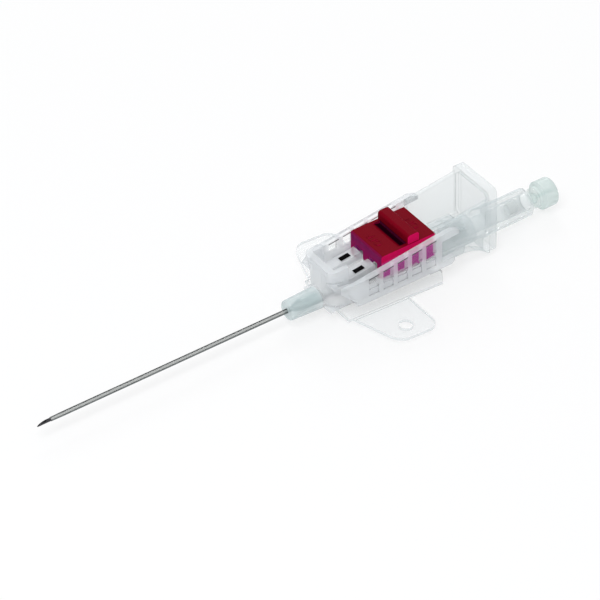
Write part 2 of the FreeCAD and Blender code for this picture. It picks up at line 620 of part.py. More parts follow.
def make_luer_socket():
    """Female luer socket: neck for the valve tube, plug, collar, ribbed barrel and tapered bore."""
    body = new_body("luer_socket")
    neck_front = "chamber_rear - tube_overlap"
    plug = "socket_seat / 2 - seat_gap"
    collar_rear = "deck_rear + seat_gap + socket_collar_length"
    taper_front = "socket_mouth - luer_depth"
    turned(body, "Revolution", "shell", [
        (neck_front, "0"), (neck_front, "ferrule_neck / 2"), ("chamber_rear", "ferrule_neck / 2"),
        ("chamber_rear", plug), ("deck_rear + seat_gap", plug),
        ("deck_rear + seat_gap", "socket_collar / 2"), (collar_rear, "socket_collar / 2"),
        (collar_rear, "socket_outer / 2"), ("socket_mouth", "socket_outer / 2"), ("socket_mouth", "0"),
    ])
    leans = {
        "upper_left": "-socket_rib_angle", "upper_right": "socket_rib_angle",
        "lower_left": "180 + socket_rib_angle", "lower_right": "180 - socket_rib_angle",
    }
    rib_rear = "socket_rib_front + socket_rib_length"
    rib_root = "luer_mouth / 2 + socket_rib_end"
    for name, lean in leans.items():
        sketch = new_sketch(body, f"rib_{name}_outline", "XZ_Plane")
        sketch.AttachmentOffset = Placement(Vector(0, 0, 0), Rotation(Vector(1, 0, 0), value(lean)))
        sketch.setExpression("AttachmentOffset.Rotation.Angle", cells(lean))
        add_outline(sketch, [
            ("socket_rib_front", rib_root), (rib_rear, rib_root),
            (rib_rear, "socket_outer / 2 + socket_rib_end"),
            (f"{rib_rear} - socket_rib_slant", "socket_rib_reach"), ("socket_rib_front", "socket_rib_reach"),
        ])
        rib = feature(body, "Pad", sketch, f"rib_{name}")
        rib.setExpression("Length", cells("socket_rib_thick"))
        rib.Midplane = True
        doc.recompute()
    turned(body, "Groove", "luer_bore", [
        (f"{neck_front} - 1", "0"), (f"{neck_front} - 1", "ferrule_bore / 2"),
        (taper_front, "ferrule_bore / 2"), (taper_front, "(luer_mouth - luer_taper * luer_depth) / 2"),
        ("socket_mouth", "luer_mouth / 2"), ("socket_mouth + 1", "luer_mouth / 2"), ("socket_mouth + 1", "0"),
    ])


# Slide switch

def make_slide_switch():
    body = new_body("slide_switch")
    rear = "switch_front + switch_length"
    across(body, "Pad", "block", [[
        ("switch_front", "skirt_bottom"), (rear, "skirt_bottom"), (rear, "switch_top"),
        ("switch_front + switch_chamfer", "switch_top"), ("switch_front", "switch_top - switch_chamfer"),
    ]], "switch_width")
    under = f"{deck_at('switch_front - 1')} + switch_clear"
    across(body, "Pocket", "saddle", [[
        ("switch_front - 1", "skirt_bottom - 1"), (f"{rear} + 1", "skirt_bottom - 1"),
        (f"{rear} + 1", f"{deck_at(f'{rear} + 1')} + switch_clear"), ("switch_front - 1", under),
    ]], "deck_width + 2 * switch_clear")
    room = f"{rail_top_at('switch_front - 1')} + switch_clear"
    room_rear = "switch_front + switch_travel"
    for side, sign in (("left", ""), ("right", "-")):
        extrude(body, "Pocket", f"rail_room_{side}", "XZ_Plane", [[
            ("switch_front - 1", "skirt_bottom"), (room_rear, "skirt_bottom"),
            (room_rear, f"{rail_top_at(room_rear)} + switch_clear"), ("switch_front - 1", room),
        ]], "mark_rail_width + 2 * switch_clear", offset=f"{sign}(mark_spread / 2)")
    fin_rear = "fin_front + fin_length"
    fin_top = "switch_top + fin_rise"
    across(body, "Pad", "thumb_fin", [[
        ("fin_front", "switch_top - fin_root"), (fin_rear, "switch_top - fin_root"),
        (fin_rear, f"{fin_top} - fin_round", "fin_round", 1), (f"{fin_rear} - fin_round", fin_top),
        ("fin_front + fin_round", fin_top, "fin_round", 1), ("fin_front", f"{fin_top} - fin_round"),
    ]], "switch_width - 2 * fin_inset")
    across(body, "Pocket", "thumb_scoop", [[
        ("fin_front - scoop_length", "switch_top"), ("fin_front - scoop_heel", "switch_top - scoop_depth"),
        ("fin_front", "switch_top - scoop_depth"), ("fin_front", "switch_top + 1"),
        ("fin_front - scoop_length", "switch_top + 1"),
    ]], "switch_width - 2 * scoop_margin")
    nose = "tube_outer / 2 + pinch_gap"
    pinch_rear = "pinch_front + pinch_length"
    across(body, "Pad", "pinch_bar", [[
        ("pinch_front + pinch_length / 2", nose, "pinch_length / 2", 1),
        (pinch_rear, f"{nose} + pinch_length / 2"), (pinch_rear, "switch_top - 1"),
        ("pinch_front", "switch_top - 1"),
        ("pinch_front", f"{nose} + pinch_length / 2", "pinch_length / 2", 1),
    ]], "slot_width - 2 * switch_clear")
    rail_rear = "rail_front + rail_length"
    for side, backwards in (("left", False), ("right", True)):
        inner = "deck_width / 2 - groove_depth + switch_clear"
        extrude(body, "Pad", f"guide_rail_{side}", "XZ_Plane", [[
            ("rail_front", f"{deck_at('rail_front')} - groove_drop - groove_height + switch_clear"),
            (rail_rear, f"{deck_at(rail_rear)} - groove_drop - groove_height + switch_clear"),
            (rail_rear, f"{deck_at(rail_rear)} - groove_drop - switch_clear"),
            ("rail_front", f"{deck_at('rail_front')} - groove_drop - switch_clear"),
        ]], "groove_depth + switch_clear", both_ways=False,
            offset=f"{'-' if backwards else ''}({inner})", backwards=backwards)


# Wing plate

def right_wing():
    """The right wing's outline, from the fold's front end to its rear end."""
    return [
        ("wing_root_front", "-plate_strip / 2"), ("wing_lead_back", "-wing_lead_out", "wing_lead_round", 1),
        ("wing_tip_front", "-wing_span / 2"), ("wing_tip_rear", "-wing_span / 2", "wing_rear_round", 1),
        ("wing_root_rear", "wing_rear_round - wing_span / 2"), ("wing_root_rear", "-plate_strip / 2"),
    ]


def left_wing():
    """The left wing's outline, from the fold's rear end to its front end."""
    return [
        ("wing_root_rear", "plate_strip / 2"),
        ("wing_root_rear", "wing_span / 2 - wing_rear_round", "wing_rear_round", 1),
        ("wing_tip_rear", "wing_span / 2"), ("wing_tip_front", "wing_span / 2", "wing_lead_round", 1),
        ("wing_lead_back", "wing_lead_out"), ("wing_root_front", "plate_strip / 2"),
    ]


def make_wing_plate():
    """Thin plate under the hub: a strip, two wings with suture holes, and a thinned fold at each."""
    body = new_body("wing_plate")
    tilt = "atan(plate_slope)"

    def plate_sketch(name, outlines, holes=()):
        sketch = new_sketch(body, name, "XY_Plane")
        lift = cells("plate_level + plate_front * plate_slope")
        sketch.AttachmentOffset = Placement(Vector(0, 0, 0), Rotation(Vector(0, 1, 0), 1))
        sketch.setExpression("AttachmentOffset.Base.z", lift)
        sketch.setExpression("AttachmentOffset.Rotation.Angle", cells(tilt))
        for outline in outlines:
            add_outline(sketch, outline)
        for hole in holes:
            add_circle(sketch, *hole)
        return sketch

    strip, tail, notch = "(plate_strip / 2)", "(plate_tail_width / 2)", "(plate_notch / 2)"
    notch_front = "deck_rear - plate_notch_room"
    outline = [("plate_front", strip), ("plate_front", f"-{strip}")] + right_wing() + [
        ("plate_rear", f"-{strip}"), ("plate_tail", f"-{tail}"), ("plate_tail", f"-{notch}"),
        (notch_front, f"-{notch}"), (notch_front, notch), ("plate_tail", notch),
        ("plate_tail", tail), ("plate_rear", strip),
    ] + left_wing()
    holes = [("eyelet_place", f"{side}eyelet_out", "eyelet_bore") for side in ("", "-")]
    sheet_pad = feature(body, "Pad", plate_sketch("plate_outline", [outline], holes), "plate")
    sheet_pad.setExpression("Length", cells("plate_thick"))
    sheet_pad.Reversed = True
    doc.recompute()
    folds = []
    for side in ("", "-"):
        inner, outer = f"{side}(plate_strip / 2)", f"{side}(plate_strip / 2 + fold_width)"
        folds.append([("wing_root_front - 2", inner), ("wing_root_rear + 2", inner),
                      ("wing_root_rear + 2", outer), ("wing_root_front - 2", outer)])
    fold = feature(body, "Pocket", plate_sketch("fold_outline", folds), "thinned_fold")
    fold.setExpression("Length", cells("fold_depth"))
    doc.recompute()


# Needle unit

def make_needle():
    """Hollow needle with a slanting tip, whose point is at the bottom."""
    body = new_body("needle")
    tip = "-(catheter_length + needle_reach)"
    turned(body, "Revolution", "shaft", [
        (tip, "needle_bore / 2"), (tip, "needle_outer / 2"),
        ("needle_end", "needle_outer / 2"), ("needle_end", "needle_bore / 2"),
    ])
    over = "needle_outer / 2"
    reach = "bevel_length / needle_outer"
    across(body, "Pocket", "bevel", [[
        (f"{tip} - {reach}", f"-{over} - 1"), (f"{tip} + bevel_length + {reach}", f"{over} + 1"),
        (f"{tip} - 2", f"{over} + 1"), (f"{tip} - 2", f"-{over} - 1"),
    ]], "2 * needle_outer")


def grip_side_view():
    """Side view of the grip's walls, with the flare that runs down to the flange."""
    def top(along):
        return f"{wall_top_at(along)} + grip_top_step"
    behind = "flange_front + grip_lap"
    return [
        ("grip_front", "0"), ("flange_front - flare_reach", "0", "flare_radius", -1),
        ("flange_front", "flange_bottom + flare_lift"), (behind, "flange_bottom + flare_lift"),
        (behind, top(behind)), ("grip_front", top("grip_front")),
    ]


def make_needle_grip():
    """Grip moulding: channel, flange, male luer in front and flash chamber behind."""
    body = new_body("needle_grip")
    inside = "(grip_width - 2 * grip_wall)"
    across(body, "Pad", "channel_walls", [grip_side_view()], "grip_width")
    channel = [("grip_front - 1", "grip_floor"), ("flange_front + grip_lap", "grip_floor"),
               ("flange_front + grip_lap", "2 * flange_top"), ("grip_front - 1", "2 * flange_top")]
    across(body, "Pocket", "channel", [channel], inside)
    under = [("grip_front - 1", "flange_bottom - 1"), ("flange_front + grip_lap", "flange_bottom - 1"),
             ("flange_front + grip_lap", "grip_floor + 1"), ("grip_front - 1", "grip_floor + 1")]
    across(body, "Pocket", "floor_slot", [under], "grip_slot")
    flange = new_sketch(body, "flange_outline", "YZ_Plane", "flange_front")
    side = "flange_width / 2"
    add_outline(flange, rounded_box(f"-{side}", side, "flange_bottom", "flange_top", "flange_corner"))
    plate = feature(body, "Pad", flange, "flange")
    plate.setExpression("Length", cells("flange_thick"))
    doc.recompute()
    hollow = new_sketch(body, "dish_outline", "YZ_Plane", "flange_front")
    rim = f"({side} - dish_margin)"
    dish_top = "flange_top - dish_margin"
    add_outline(hollow, rounded_box(f"-{rim}", rim, "grip_floor", dish_top, "flange_corner"))
    dish = feature(body, "Pocket", hollow, "dish")
    dish.setExpression("Length", cells("dish_depth"))
    dish.Reversed = True
    doc.recompute()
    male_tip = f"(luer_mouth - luer_taper * (socket_mouth - {MALE_FRONT})) / 2 - male_clear"
    male_root = "(luer_mouth + luer_taper * (flange_front - socket_mouth)) / 2 - male_clear"
    dish_floor, rear_face = "flange_front + dish_depth", "flange_front + flange_thick"
    turned(body, "Revolution", "luer_and_chamber", [
        (MALE_FRONT, "0"), (MALE_FRONT, male_tip), ("flange_front", male_root),
        (dish_floor, male_root), (dish_floor, "boss_outer / 2"),
        (f"{rear_face} + boss_length - boss_slant", "boss_outer / 2"),
        (f"{rear_face} + boss_length", "flash_outer / 2"),
        ("flash_rear - flash_chamfer", "flash_outer / 2"),
        ("flash_rear", "flash_outer / 2 - flash_chamfer"), ("flash_rear", "0"),
    ])
    rib_rear, rib_side = "flash_rear - flash_rib_short", "flash_rib_width / 2"
    extrude(body, "Pad", "chamber_rib", "XY_Plane", [[
        (rear_face, f"-{rib_side}"), (rib_rear, f"-{rib_side}"), (rib_rear, rib_side), (rear_face, rib_side),
    ]], "flash_rib_root + flash_rib_rise", both_ways=False, offset="flash_outer / 2 - flash_rib_root")
    bond_rear = f"{MALE_FRONT} + male_bond_length"
    turned(body, "Groove", "chamber_bore", [
        (f"{MALE_FRONT} - 1", "0"), (f"{MALE_FRONT} - 1", "male_bond_bore / 2"),
        (bond_rear, "male_bond_bore / 2"), (f"{bond_rear} + flash_cone", "flash_bore / 2 - flash_draft"),
        ("flash_rear - plug_insert - plug_seat_room", "flash_bore / 2"),
        ("flash_rear + 1", "flash_bore / 2"), ("flash_rear + 1", "0"),
    ])


def make_needle_bond():
    """Cone of adhesive where the needle leaves the male luer."""
    body = new_body("needle_bond")
    bore = "needle_outer / 2 + seat_gap / 2"
    turned(body, "Revolution", "adhesive", [
        (f"{MALE_FRONT} - bond_length", bore), (f"{MALE_FRONT} - bond_length", f"{bore} + bond_edge"),
        (f"{MALE_FRONT} - seat_gap", "bond_outer / 2"), (f"{MALE_FRONT} - seat_gap", bore),
    ])


# Vent plug

def make_vent_plug():
    body = new_body("vent_plug")
    insert = "flash_bore / 2 - plug_clear"
    front = "flash_rear - plug_insert"
    seat = "flash_rear + seat_gap"
    turned(body, "Revolution", "plug", [
        (front, "0"), (front, insert), (seat, insert), (seat, "plug_neck / 2"),
        ("plug_cap_front - plug_neck_flare", "plug_neck / 2"), ("plug_cap_front", "plug_cap / 2"),
        ("plug_end - plug_round", "plug_cap / 2", "plug_round", -1),
        ("plug_end", "plug_cap / 2 - plug_round"),
        ("plug_end + plug_dome", "0"),
    ])
    turned(body, "Groove", "vent_bore", [
        (f"{front} - 1", "0"), (f"{front} - 1", "plug_bore / 2"),
        ("plug_cap_front - plug_bore / 2", "plug_bore / 2"), ("plug_cap_front", "vent_hole / 2"),
        ("plug_end + plug_dome + 1", "vent_hole / 2"), ("plug_end + plug_dome + 1", "0"),
    ])


def make_vent_filter():
    body = new_body("vent_filter")
    front = "flash_rear - plug_insert + filter_inset"
    rear = f"{front} + filter_length"
    turned(body, "Revolution", "porous_disc", [
        (front, "0"), (front, "plug_bore / 2 - seat_gap"), (rear, "plug_bore / 2 - seat_gap"), (rear, "0"),
    ])


def check_and_write():
    """Stop on any failed object or bad solid, then write one file for each piece."""
    doc.recompute()
    for item in doc.Objects:
        if "Invalid" in item.State or "Error" in item.State:
            raise RuntimeError(f"{item.Name} failed: {item.State}")
    bodies = [item for item in doc.Objects if item.TypeId == "PartDesign::Body"]
    for body in bodies:
        if body.Shape.isNull() or not body.Shape.isValid():
            raise RuntimeError(f"{body.Label} has no valid shape")
    os.makedirs(NODE_FOLDER, exist_ok=True)
    for body in bodies:
        body.Shape.exportStep(f"{NODE_FOLDER}/{body.Label}.step")
        box = body.Shape.BoundBox
        print(f"{body.Label}: {len(body.Shape.Solids)} solid, {body.Shape.Volume:.3f} mm3,"
              f" x {box.XMin:.2f} to {box.XMax:.2f}, y {box.YMin:.2f} to {box.YMax:.2f},"
              f" z {box.ZMin:.2f} to {box.ZMax:.2f}")


fill_sheet()
make_catheter_tube()
make_catheter_ferrule()
make_cannula_hub()
make_index_mark("index_mark_left", "")
make_index_mark("index_mark_right", "-")
make_valve_tube()
make_luer_socket()
make_slide_switch()
make_wing_plate()
make_needle()
make_needle_bond()
make_needle_grip()
make_vent_plug()
make_vent_filter()
check_and_write()
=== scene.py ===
import json
import math

import bpy
from bpy.props import FloatProperty, FloatVectorProperty, PointerProperty
from mathutils import Matrix, Vector

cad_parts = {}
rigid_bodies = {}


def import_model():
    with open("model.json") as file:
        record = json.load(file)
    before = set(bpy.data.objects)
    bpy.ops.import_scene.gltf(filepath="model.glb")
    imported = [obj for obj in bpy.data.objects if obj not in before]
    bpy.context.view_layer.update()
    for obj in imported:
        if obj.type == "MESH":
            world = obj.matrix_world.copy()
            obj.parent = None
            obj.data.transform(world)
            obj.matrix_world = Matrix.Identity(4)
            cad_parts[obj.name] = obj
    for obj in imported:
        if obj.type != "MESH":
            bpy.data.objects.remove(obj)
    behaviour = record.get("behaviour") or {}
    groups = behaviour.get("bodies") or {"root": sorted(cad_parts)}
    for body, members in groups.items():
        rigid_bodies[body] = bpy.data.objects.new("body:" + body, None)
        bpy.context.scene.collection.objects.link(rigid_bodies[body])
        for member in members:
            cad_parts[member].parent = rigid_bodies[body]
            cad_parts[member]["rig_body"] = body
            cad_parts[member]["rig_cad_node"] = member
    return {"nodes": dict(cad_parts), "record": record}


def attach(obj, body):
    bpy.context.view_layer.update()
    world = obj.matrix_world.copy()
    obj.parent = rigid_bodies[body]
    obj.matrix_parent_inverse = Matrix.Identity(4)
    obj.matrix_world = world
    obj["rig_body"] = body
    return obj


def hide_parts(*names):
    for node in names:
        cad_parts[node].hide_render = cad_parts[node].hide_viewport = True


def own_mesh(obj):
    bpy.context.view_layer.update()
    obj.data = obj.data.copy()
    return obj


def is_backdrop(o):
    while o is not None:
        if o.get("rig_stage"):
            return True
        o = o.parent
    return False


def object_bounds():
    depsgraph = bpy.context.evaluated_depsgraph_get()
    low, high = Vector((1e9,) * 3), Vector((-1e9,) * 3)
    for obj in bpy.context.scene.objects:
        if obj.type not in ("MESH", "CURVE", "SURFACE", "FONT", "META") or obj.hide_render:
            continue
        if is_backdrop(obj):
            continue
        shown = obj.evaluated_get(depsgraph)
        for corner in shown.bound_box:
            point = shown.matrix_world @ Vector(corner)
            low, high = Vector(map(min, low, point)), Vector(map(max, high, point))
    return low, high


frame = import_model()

bl_info = {
    "name": "Arterial cannula",
    "version": (1, 0, 0),
    "blender": (4, 5, 0),
    "location": "View3D > Sidebar > Cannula",
    "description": "Dresses the packed arterial cannula: soft edges, plastics, steel, lettering and stage",
    "category": "Object",
}

MM = 0.001

# The photograph's camera, fitted to the object's edges
PHOTO_PIXELS = 600
VIEW_AZIMUTH = math.radians(34.74)
VIEW_ELEVATION = math.radians(38.89)
VIEW_ROLL = math.radians(1.03)
VIEW_DISTANCE = 600 * MM
VIEW_FOCAL_PIXELS = 3665
VIEW_TARGET = Vector((14.5, 0, 2)) * MM
VIEW_TARGET_PIXEL = (359.2, 268.2)
SENSOR_WIDTH = 36

# Joining and smoothing of the copied meshes
JOIN_DISTANCE = 0.0005 * MM
FLAT_ANGLE = math.radians(0.4)
SMOOTH_ANGLE = math.radians(32)

# The windows in the hub's walls, for the thin panes behind them. Their tops rise with the deck,
# so the head is the height that a window's top would have at X = 0.
WINDOW_MARGIN = 0.06 * MM
WINDOW_FIRST = 12.15 * MM - WINDOW_MARGIN
WINDOW_PITCH = 2.87 * MM
WINDOW_LENGTH = 1.95 * MM + 2 * WINDOW_MARGIN
WINDOW_COUNT = 5
WINDOW_SILL = 2.9 * MM - WINDOW_MARGIN
WINDOW_HEAD = 2.883 * MM + WINDOW_MARGIN
# Width of the painted shadow along the head of each window
HEAD_SHADOW = 0.25 * MM
PANE_INNER = 5.15 * MM
TRACK_SLOPE = 0.13

# Where finishes change along the cannula, and over what length
NOZZLE_END = 6.1 * MM
NOZZLE_FADE = 0.4 * MM
BARE_TIP = -45 * MM
TIP_FADE = 0.2 * MM
PLUG_CAP = 51.0 * MM
PLUG_FADE = 1.2 * MM

# The switch: its top, the bands over which its painted light and shade change, and where its words stand
SWITCH_TOP = 6.4 * MM
SKIRT_BAND = (4.2 * MM, 5.4 * MM)
FRONT_BAND = (2.6 * MM, 6.2 * MM)
TOP_BAND = (6.5 * MM, 6.3 * MM)
# Where the painted shadow lies in the hollow before the fin
HOLLOW_MIDDLE = 20.75 * MM
HOLLOW_LENGTH_BAND = (0.85 * MM, 0.35 * MM)
HOLLOW_WIDTH_BAND = (3.9 * MM, 3.5 * MM)
HOLLOW_HEIGHT_BAND = (6.7 * MM, 6.45 * MM)
WORDS = (("OFF", 17.7 * MM), ("ON", 25.2 * MM))

# Refraction of the clear plastics, and of the plastics that show no glare
CLEAR_IOR = 1.2
DULL_IOR = 1.06

# Strength of the even light, and how much of the floor's look is plain white
WORLD_LIGHT = 0.62
FLOOR_WHITE = 0.65


def length_property(name, default, description):
    return FloatProperty(
        name=name, default=default, min=0, precision=5, unit="LENGTH", description=description
    )


def colour_property(name, default, description):
    return FloatVectorProperty(
        name=name, default=default, size=3, min=0, max=1, subtype="COLOR", description=description
    )


class CannulaSizes(bpy.types.PropertyGroup):
    """Sizes that a user would change"""

    switch_edge: length_property("Switch edge", 0.16 * MM, "Rounding of the switch's edges")
    small_edge: length_property("Small edge", 0.03 * MM, "Rounding of small pieces")
    letter_height: length_property("Letter height", 1.9 * MM, "Height of the words on the switch")
    letter_relief: length_property("Letter relief", 0.07 * MM, "How far the words stand out of the switch")


class CannulaColours(bpy.types.PropertyGroup):
    """Colours that a user would change"""

    hub: colour_property("Hub", (0.84, 0.87, 0.89), "Slightly frosted clear plastic")
    grip: colour_property("Grip", (0.76, 0.83, 0.84), "Clear plastic")
    wing: colour_property("Wing", (0.72, 0.78, 0.80), "Thin clear plastic")
    plug: colour_property("Plug", (0.70, 0.80, 0.78), "Greenish translucent plastic")
    switch: colour_property("Switch", (0.21, 0.002, 0.010), "Deep red of the switch's top")
    switch_dark: colour_property("Switch, dark", (0.14, 0.001, 0.008), "Cloudy darker tone of the top")
    # Painted light on the switch's sides, pink above and mauve on the skirts
    switch_side_light: colour_property("Switch side", (0.62, 0.004, 0.09), "Light coming through the red")
    switch_skirt_light: colour_property("Switch skirt", (0.50, 0.06, 0.34), "Thin skirts behind the panes")
    # Painted shade on the switch's front face, lighter at its foot
    switch_front_foot_shade: colour_property("Switch foot", (0.32, 0.006, 0.10), "Foot of the switch's front face")
    switch_front_shade: colour_property("Switch front", (0.19, 0.010, 0.08), "Upper part of its front face")
    # Painted shadow that the fin casts into the hollow before it
    switch_hollow_shadow: colour_property("Switch hollow", (0.012, 0.0, 0.004), "Shaded hollow before the fin")
    nozzle: colour_property("Nozzle", (0.64, 0.74, 0.75), "Thicker, greener plastic of the nozzle")
    # Painted shade along the tube's outlines, set by which way the surface faces
    catheter_top_shade: colour_property("Catheter, upper", (0.015, 0.018, 0.018), "Tube's upper outline")
    catheter_crown_shade: colour_property("Catheter, crown", (0.04, 0.045, 0.045), "Tube's top line")
    catheter_underside_shade: colour_property("Catheter, lower", (0.30, 0.33, 0.33), "Tube's lower outline")
    steel: colour_property("Steel", (0.66, 0.68, 0.67), "Ground steel")
    # Painted shade on the needle's lower side
    steel_underside_shade: colour_property("Steel, lower", (0.12, 0.12, 0.125), "Darker lower side of the needle")
    steel_tip: colour_property("Steel tip", (0.06, 0.06, 0.065), "Darker ground tip of the needle")
    mark: colour_property("Mark", (0.002, 0.002, 0.002), "Black index marks")
    floor: colour_property("Floor", (0.90, 0.90, 0.90), "Pale floor")


def sizes():
    return bpy.context.scene.cannula_sizes


def colours():
    return bpy.context.scene.cannula_colours


# Modelling helpers

def deselect_all():
    if bpy.context.mode != "OBJECT":
        bpy.ops.object.mode_set(mode="OBJECT")
    bpy.ops.object.select_all(action="DESELECT")


def work_on(obj):
    deselect_all()
    obj.select_set(True)
    bpy.context.view_layer.objects.active = obj


def apply_modifier(obj, kind, name, **settings):
    work_on(obj)
    modifier = obj.modifiers.new(name, kind)
    for key, setting in settings.items():
        setattr(modifier, key, setting)
    bpy.ops.object.modifier_apply(modifier=modifier.name)


def smooth(obj):
    work_on(obj)
    bpy.ops.object.shade_smooth_by_angle(angle=SMOOTH_ANGLE)


def dress(obj, material):
    """Give a piece its only material."""
    obj.data.materials.clear()
    obj.data.materials.append(material)


def moulded_copy(node, name, edge=0.0, segments=2, degrees=28):
    """Copy a CAD node, join its triangles, and round its edges where an edge width is given."""
    work_on(frame["nodes"][node])
    bpy.ops.object.duplicate()
    piece = bpy.context.view_layer.objects.active
    piece.name = name
    piece.data.name = name
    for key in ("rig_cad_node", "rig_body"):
        del piece[key]
    bpy.ops.mesh.customdata_custom_splitnormals_clear()
    bpy.ops.object.mode_set(mode="EDIT")
    bpy.ops.mesh.select_all(action="SELECT")
    bpy.ops.mesh.remove_doubles(threshold=JOIN_DISTANCE)
    bpy.ops.mesh.dissolve_limited(angle_limit=FLAT_ANGLE, use_dissolve_boundaries=False)
    bpy.ops.object.mode_set(mode="OBJECT")
    if edge > 0:
        apply_modifier(
            piece, "BEVEL", "soft_edges", width=edge, segments=segments, limit_method="ANGLE",
            angle_limit=math.radians(degrees), use_clamp_overlap=True,
        )
    smooth(piece)
    apply_modifier(piece, "WEIGHTED_NORMAL", "flat_faces", weight=100, keep_sharp=True)
    return piece


def raised_word(word, place):
    """A word across the switch's top, read from the grip's end."""
    deselect_all()
    bpy.ops.object.text_add()
    text = bpy.context.view_layer.objects.active
    text.data.body = word
    text.data.size = sizes().letter_height
    text.data.extrude = sizes().letter_relief
    text.data.align_x = "CENTER"
    text.data.align_y = "CENTER"
    text.rotation_euler = (0, 0, math.radians(90))
    text.location = (place, 0, SWITCH_TOP)
    bpy.ops.object.convert(target="MESH")
    bpy.ops.object.transform_apply(location=True, rotation=True, scale=True)
    text.name = text.data.name = f"word_{word.lower()}"
    return text


def stand_in(piece, node):
    """Let a piece stand for a CAD node, and ride on that node's body."""
    bodies = frame["record"]["behaviour"]["bodies"]
    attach(piece, next(body for body, nodes in bodies.items() if node in nodes))
    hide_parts(node)


# Material helpers

def new_material(name):
    material = bpy.data.materials.new(name)
    material.use_nodes = True
    nodes = material.node_tree.nodes
    return material, nodes, material.node_tree.links, nodes["Principled BSDF"]


def new_group(name, inputs, outputs):
    """Start a shader node group with named inputs and outputs."""
    group = bpy.data.node_groups.new(name, "ShaderNodeTree")
    for label, kind, default in inputs:
        socket = group.interface.new_socket(label, in_out="INPUT", socket_type=kind)
        socket.default_value = default
    for label, kind in outputs:
        group.interface.new_socket(label, in_out="OUTPUT", socket_type=kind)
    return group, group.nodes.new("NodeGroupInput"), group.nodes.new("NodeGroupOutput")


def place_group(nodes, name, **values):
    node = nodes.new("ShaderNodeGroup")
    node.node_tree = bpy.data.node_groups[name]
    for label, setting in values.items():
        node.inputs[label.replace("_", " ")].default_value = setting
    return node


def make_moulded_surface():
    """Flow marks and fine grain of moulded plastic: a roughness and a bump height."""
    group, start, end = new_group(
        "moulded_surface",
        [("Roughness", "NodeSocketFloat", 0.2), ("Roughness Spread", "NodeSocketFloat", 0.1),
         ("Grain Scale", "NodeSocketFloat", 3000.0), ("Flow Scale", "NodeSocketFloat", 250.0)],
        [("Roughness", "NodeSocketFloat"), ("Height", "NodeSocketFloat")],
    )
    nodes, links = group.nodes, group.links
    place = nodes.new("ShaderNodeTexCoord")
    flow = nodes.new("ShaderNodeTexNoise")
    flow.inputs["Detail"].default_value = 3
    grain = nodes.new("ShaderNodeTexNoise")
    grain.inputs["Detail"].default_value = 2
    spread = nodes.new("ShaderNodeMath")
    spread.operation = "MULTIPLY_ADD"
    total = nodes.new("ShaderNodeMath")
    total.operation = "ADD"
    centre = nodes.new("ShaderNodeMath")
    centre.operation = "SUBTRACT"
    centre.inputs[1].default_value = 0.5
    links.new(place.outputs["Object"], flow.inputs["Vector"])
    links.new(place.outputs["Object"], grain.inputs["Vector"])
    links.new(start.outputs["Flow Scale"], flow.inputs["Scale"])
    links.new(start.outputs["Grain Scale"], grain.inputs["Scale"])
    links.new(flow.outputs["Fac"], centre.inputs[0])
    links.new(centre.outputs[0], spread.inputs[0])
    links.new(start.outputs["Roughness Spread"], spread.inputs[1])
    links.new(start.outputs["Roughness"], spread.inputs[2])
    links.new(spread.outputs[0], end.inputs["Roughness"])
    links.new(flow.outputs["Fac"], total.inputs[0])
    links.new(grain.outputs["Fac"], total.inputs[1])
    links.new(total.outputs[0], end.inputs["Height"])


def add_surface(nodes, links, shader, roughness, spread, grain_scale, flow_scale, relief):
    """Drive a shader's roughness and bump from the moulded surface group."""
    surface = place_group(
        nodes, "moulded_surface", Roughness=roughness, Roughness_Spread=spread,
        Grain_Scale=grain_scale, Flow_Scale=flow_scale,
    )
    bump = nodes.new("ShaderNodeBump")
    bump.inputs["Strength"].default_value = 0.5
    bump.inputs["Distance"].default_value = relief
    links.new(surface.outputs["Roughness"], shader.inputs["Roughness"])
    links.new(surface.outputs["Height"], bump.inputs["Height"])
    links.new(bump.outputs["Normal"], shader.inputs["Normal"])
    return surface


def number(nodes, links, operation, *sources):
    """Add a maths node, whose inputs are plain numbers or other nodes' sockets."""
    node = nodes.new("ShaderNodeMath")
    node.operation = operation
    for socket, source in zip(node.inputs, sources):
        if isinstance(source, bpy.types.NodeSocket):
            links.new(source, socket)
        else:
            socket.default_value = source
    return node.outputs[0]


def ramp(nodes, links, source, start, end, low=0.0, high=1.0):
    """Turn one range into another with a soft start and end."""
    node = nodes.new("ShaderNodeMapRange")
    node.interpolation_type = "SMOOTHSTEP"
    for label, setting in (("From Min", start), ("From Max", end), ("To Min", low), ("To Max", high)):
        node.inputs[label].default_value = setting
    links.new(source, node.inputs["Value"])
    return node.outputs["Result"]


def blend(nodes, links, amount, first, second):
    """Mix two colours, which are plain colours or other nodes' sockets."""
    node = nodes.new("ShaderNodeMix")
    node.data_type = "RGBA"
    links.new(amount, node.inputs[0])
    for socket, source in ((node.inputs[6], first), (node.inputs[7], second)):
        if isinstance(source, bpy.types.NodeSocket):
            links.new(source, socket)
        else:
            socket.default_value = (*source, 1)
    return node.outputs[2]


def blend_number(nodes, links, amount, source, end):
    """Mix another node's number with a plain one."""
    node = nodes.new("ShaderNodeMix")
    links.new(amount, node.inputs[0])
    links.new(source, node.inputs[2])
    node.inputs[3].default_value = end
    return node.outputs[0]


def facing_edge(nodes, links, start, end, low, high):
    """Turn how far a surface is seen edge on, as glass shows it, into a density."""
    edge_on = nodes.new("ShaderNodeLayerWeight")
    edge_on.inputs["Blend"].default_value = 0.5
    return ramp(nodes, links, edge_on.outputs["Facing"], start, end, low, high)


def darker(colour, share):
    return [share * part for part in colour]


def object_place(nodes, links, output="Object"):
    """Three sockets with the surface point's place, or its normal, along the piece's own axes."""
    place = nodes.new("ShaderNodeTexCoord")
    parts = nodes.new("ShaderNodeSeparateXYZ")
    links.new(place.outputs[output], parts.inputs["Vector"])
    return parts.outputs["X"], parts.outputs["Y"], parts.outputs["Z"]
